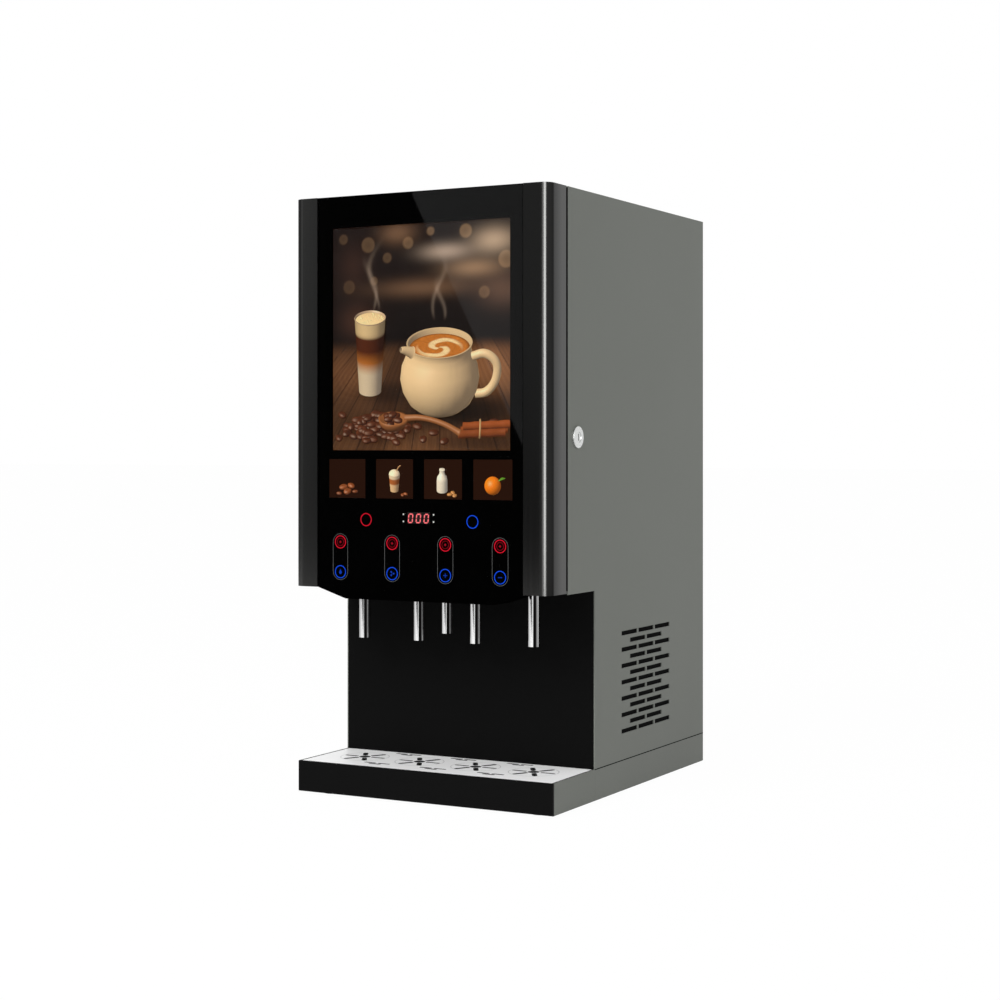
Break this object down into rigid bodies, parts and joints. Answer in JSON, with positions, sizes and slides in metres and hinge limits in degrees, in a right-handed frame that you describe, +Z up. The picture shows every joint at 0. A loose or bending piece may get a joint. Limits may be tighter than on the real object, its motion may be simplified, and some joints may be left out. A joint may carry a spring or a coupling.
{
  "type": "countertop hot drinks dispenser",
  "caption": "Countertop hot and cold drinks dispenser with a hinged glass door, powder hoppers, mixing bowls, outlet tubes and a drip tray drawer.",
  "frame": {"origin": "on the counter, under the middle of the casing and door", "axes": "+X to the viewer's right, the door faces -Y, +Z up"},
  "size_m": [0.343, 0.441, 0.704],
  "materials": {
    "side_paint": "satin grey-olive powder coat",
    "black_paint": "satin black",
    "galvanised": "plain sheet",
    "chrome": "polished",
    "steel_plate": "bright, polished",
    "door_glass": "gloss, printed black on its back",
    "black_plastic": "fine grain",
    "door_profile": "satin black anodised",
    "poster": "lit print",
    "tiles": "lit print",
    "circuit_board": "solder mask",
    "hopper_plastic": "translucent white",
    "bowl_plastic": "translucent",
    "white_plastic": "moulded",
    "motor_steel": "zinc plated",
    "insulation": "foam jacket",
    "compressor_black": "gloss black enamel",
    "condenser_fins": "bare fins",
    "silicone": "translucent silicone",
    "foot_rubber": "matt",
    "switch_red": "gloss"
  },
  "bodies": {
    "cabinet": {"base_pan": "side_paint", "rubber_feet": "foot_rubber", "right_side_panel": "side_paint", "left_side_panel": "side_paint", "roof_panel": "side_paint", "back_panel": "side_paint", "splash_panel": "black_paint", "head_floor": "black_paint", "module_plate": "galvanised", "hopper_carrier": "galvanised", "hinge_fixed_leaves": "galvanised", "lock_housing": "chrome", "drink_spouts": "chrome", "water_spout": "chrome", "water_hoses": "silicone", "mixing_bowl_1": "bowl_plastic", "mixing_bowl_2": "bowl_plastic", "mixing_bowl_3": "bowl_plastic", "mixing_bowl_4": "bowl_plastic", "whipper_motors": "motor_steel", "hopper_1": "hopper_plastic", "hopper_2": "hopper_plastic", "hopper_3": "hopper_plastic", "hopper_4": "hopper_plastic", "auger_motors": "motor_steel", "boiler": "insulation", "cold_tank": "insulation", "water_valves": "white_plastic", "compressor": "compressor_black", "condenser": "condenser_fins", "fan_housing": "black_plastic", "control_board": "circuit_board", "power_inlet": "black_plastic"},
    "door": {"door_frame": "black_plastic", "door_left_profile": "door_profile", "door_right_profile": "door_profile", "door_glass": "door_glass", "poster_panel": "poster", "flavour_tiles": "tiles", "display_board": "circuit_board", "door_back_cover": "galvanised", "door_catch": "galvanised", "hinge_door_leaves": "galvanised"},
    "lock": {"lock_plug": "chrome"},
    "tray": {"drip_tray": "black_plastic"},
    "grille": {"drip_grille": "steel_plate"},
    "lid_1": {"hopper_lid_1": "white_plastic"},
    "auger_1": {"auger_1": "white_plastic"},
    "whipper_1": {"whipper_1": "white_plastic"},
    "lid_2": {"hopper_lid_2": "white_plastic"},
    "auger_2": {"auger_2": "white_plastic"},
    "whipper_2": {"whipper_2": "white_plastic"},
    "lid_3": {"hopper_lid_3": "white_plastic"},
    "auger_3": {"auger_3": "white_plastic"},
    "whipper_3": {"whipper_3": "white_plastic"},
    "lid_4": {"hopper_lid_4": "white_plastic"},
    "auger_4": {"auger_4": "white_plastic"},
    "whipper_4": {"whipper_4": "white_plastic"},
    "fan": {"fan_rotor": "black_plastic"},
    "switch": {"rocker_switch": "switch_red"}
  },
  "joints": [
    {"name": "door_hinge", "type": "hinge", "parent": "cabinet", "child": "door", "pos_m": [-0.169, -0.176, 0.476], "axis": [0, 0, -1], "range_deg": [0, 105]},
    {"name": "lock_turn", "type": "hinge", "parent": "cabinet", "child": "lock", "pos_m": [0.169, -0.151, 0.4228], "axis": [-1, 0, 0], "range_deg": [0, 90]},
    {"name": "tray_slide", "type": "slide", "parent": "cabinet", "child": "tray", "axis": [0, -1, 0], "range_m": [0, 0.095]},
    {"name": "grille_lift", "type": "slide", "parent": "tray", "child": "grille", "axis": [0, 0, 1], "range_m": [0, 0.08]},
    {"name": "lid_1_hinge", "type": "hinge", "parent": "cabinet", "child": "lid_1", "pos_m": [-0.114, -0.0205, 0.604], "axis": [-1, 0, 0], "range_deg": [0, 70]},
    {"name": "auger_1_spin", "type": "hinge", "parent": "cabinet", "child": "auger_1", "pos_m": [-0.114, -0.03, 0.452], "axis": [0, 1, 0], "continuous": true},
    {"name": "whipper_1_spin", "type": "hinge", "parent": "cabinet", "child": "whipper_1", "pos_m": [-0.114, -0.08, 0.338], "axis": [0, 1, 0], "continuous": true},
    {"name": "lid_2_hinge", "type": "hinge", "parent": "cabinet", "child": "lid_2", "pos_m": [-0.038, -0.0205, 0.604], "axis": [-1, 0, 0], "range_deg": [0, 70]},
    {"name": "auger_2_spin", "type": "hinge", "parent": "cabinet", "child": "auger_2", "pos_m": [-0.038, -0.03, 0.452], "axis": [0, 1, 0], "continuous": true},
    {"name": "whipper_2_spin", "type": "hinge", "parent": "cabinet", "child": "whipper_2", "pos_m": [-0.038, -0.08, 0.338], "axis": [0, 1, 0], "continuous": true},
    {"name": "lid_3_hinge", "type": "hinge", "parent": "cabinet", "child": "lid_3", "pos_m": [0.038, -0.0205, 0.604], "axis": [-1, 0, 0], "range_deg": [0, 70]},
    {"name": "auger_3_spin", "type": "hinge", "parent": "cabinet", "child": "auger_3", "pos_m": [0.038, -0.03, 0.452], "axis": [0, 1, 0], "continuous": true},
    {"name": "whipper_3_spin", "type": "hinge", "parent": "cabinet", "child": "whipper_3", "pos_m": [0.038, -0.08, 0.338], "axis": [0, 1, 0], "continuous": true},
    {"name": "lid_4_hinge", "type": "hinge", "parent": "cabinet", "child": "lid_4", "pos_m": [0.114, -0.0205, 0.604], "axis": [-1, 0, 0], "range_deg": [0, 70]},
    {"name": "auger_4_spin", "type": "hinge", "parent": "cabinet", "child": "auger_4", "pos_m": [0.114, -0.03, 0.452], "axis": [0, 1, 0], "continuous": true},
    {"name": "whipper_4_spin", "type": "hinge", "parent": "cabinet", "child": "whipper_4", "pos_m": [0.114, -0.08, 0.338], "axis": [0, 1, 0], "continuous": true},
    {"name": "fan_spin", "type": "hinge", "parent": "cabinet", "child": "fan", "pos_m": [0.062, 0.19, 0.104], "axis": [0, 1, 0], "continuous": true},
    {"name": "switch_rock", "type": "hinge", "parent": "cabinet", "child": "switch", "pos_m": [-0.112, 0.206, 0.109], "axis": [-1, 0, 0], "range_deg": [0, 20]}
  ]
}
